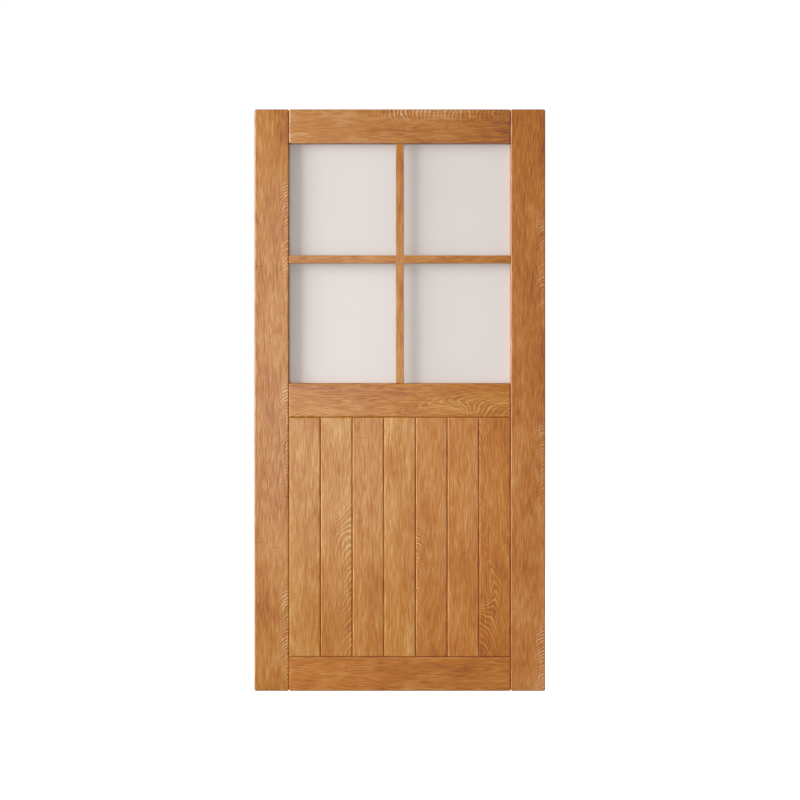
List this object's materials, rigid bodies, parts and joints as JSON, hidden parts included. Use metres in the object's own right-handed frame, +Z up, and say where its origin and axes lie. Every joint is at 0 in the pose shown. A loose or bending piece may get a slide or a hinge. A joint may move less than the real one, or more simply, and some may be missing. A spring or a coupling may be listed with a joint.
{
  "type": "sliding barn door",
  "caption": "Oak sliding barn door leaf with V-jointed planks below and a frosted, cross-barred window above; slotted below for a floor guide.",
  "frame": {"origin": "middle of the bottom edge, at half the leaf's thickness", "axes": "+X to the right seen from the front, +Y from the front face to the back, +Z up"},
  "size_m": [1.067, 0.044, 2.134],
  "materials": {
    "oak_frame": "satin oiled oak",
    "oak_plank": "satin oiled oak",
    "oak_bar": "satin oiled oak",
    "frosted_glass": "acid-etched, satin",
    "glazing_tape": "closed-cell foam, matt",
    "setting_block": "hard rubber, matt",
    "beech_dowel": "plain beech",
    "pin_steel": "bright steel"
  },
  "bodies": {
    "root": {"left_stile": "oak_frame", "right_stile": "oak_frame", "top_rail": "oak_frame", "lock_rail": "oak_frame", "bottom_rail": "oak_frame", "plank_1": "oak_plank", "plank_2": "oak_plank", "plank_3": "oak_plank", "plank_4": "oak_plank", "plank_5": "oak_plank", "plank_6": "oak_plank", "plank_7": "oak_plank", "upright_bar": "oak_bar", "cross_bar": "oak_bar", "glass_pane": "frosted_glass", "setting_blocks": "setting_block", "glazing_tape_bottom": "glazing_tape", "glazing_tape_left": "glazing_tape", "glazing_tape_top": "glazing_tape", "glazing_tape_right": "glazing_tape", "bead_bottom": "oak_bar", "bead_left": "oak_bar", "bead_top": "oak_bar", "bead_right": "oak_bar", "bead_pins": "pin_steel", "top_rail_dowels": "beech_dowel", "lock_rail_dowels": "beech_dowel", "bottom_rail_dowels": "beech_dowel"}
  },
  "joints": []
}
